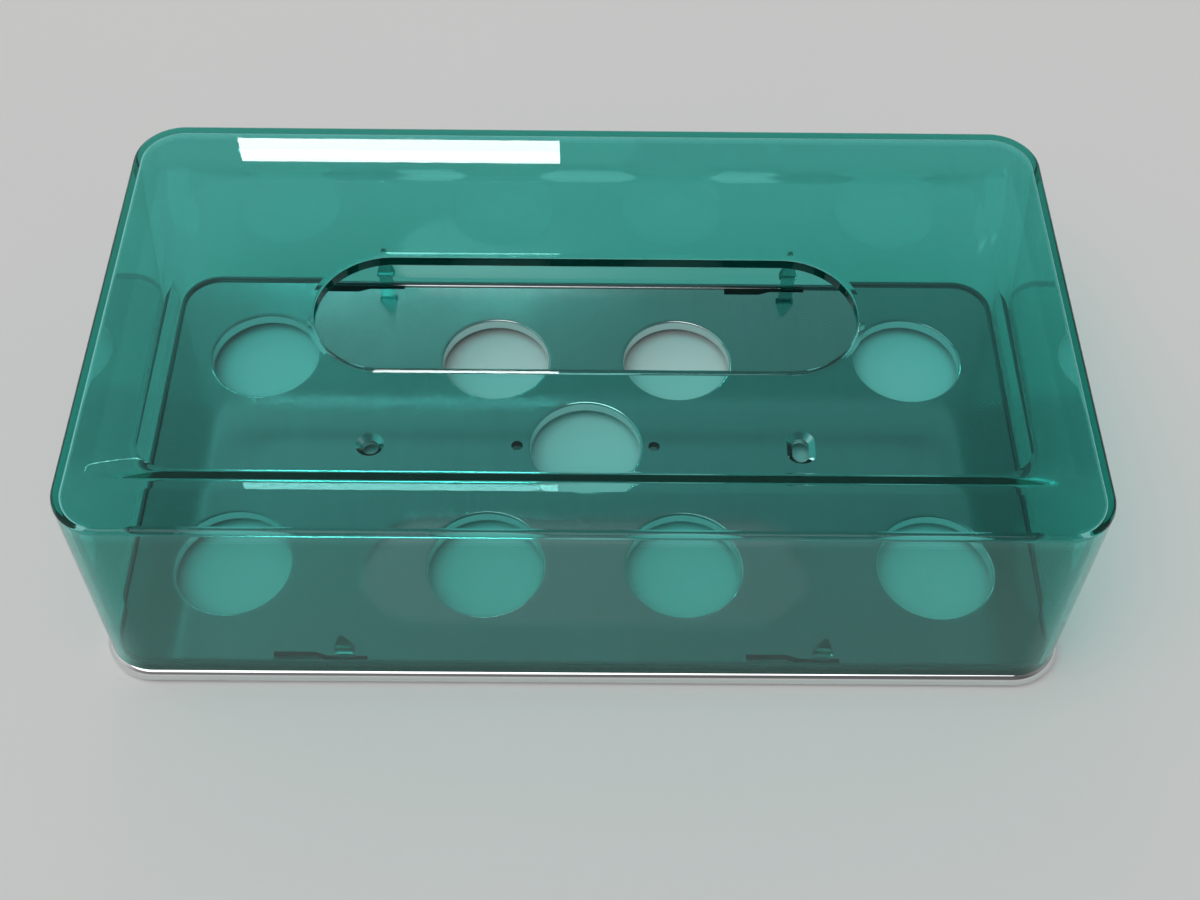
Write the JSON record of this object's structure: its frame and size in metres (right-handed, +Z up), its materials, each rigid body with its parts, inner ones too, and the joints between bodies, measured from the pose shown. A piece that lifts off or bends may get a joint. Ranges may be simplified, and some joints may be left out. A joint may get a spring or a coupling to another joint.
{
  "type": "tissue box",
  "caption": "Flat tissue box: a clear tinted drop-over cover with a long round-ended pull slot, standing on a bright plated base tray pierced by large round openings.",
  "frame": {"origin": "centre of the footprint, on the surface that the base stands on", "axes": "+X along the length, +Y from the front long side to the back one, +Z up"},
  "size_m": [0.2584, 0.1434, 0.07],
  "materials": {
    "tinted_cover": "clear blue-green tinted moulded plastic, polished",
    "plated_base": "bright plating on moulded plastic"
  },
  "bodies": {
    "base": {"base_plate": "plated_base"},
    "cover": {"cover": "tinted_cover", "lug_front_left": "tinted_cover", "lug_front_right": "tinted_cover", "lug_back_left": "tinted_cover", "lug_back_right": "tinted_cover"}
  },
  "joints": [
    {"name": "cover_lift", "type": "slide", "parent": "base", "child": "cover", "axis": [0, 0, 1], "range_m": [0, 0.08]}
  ]
}
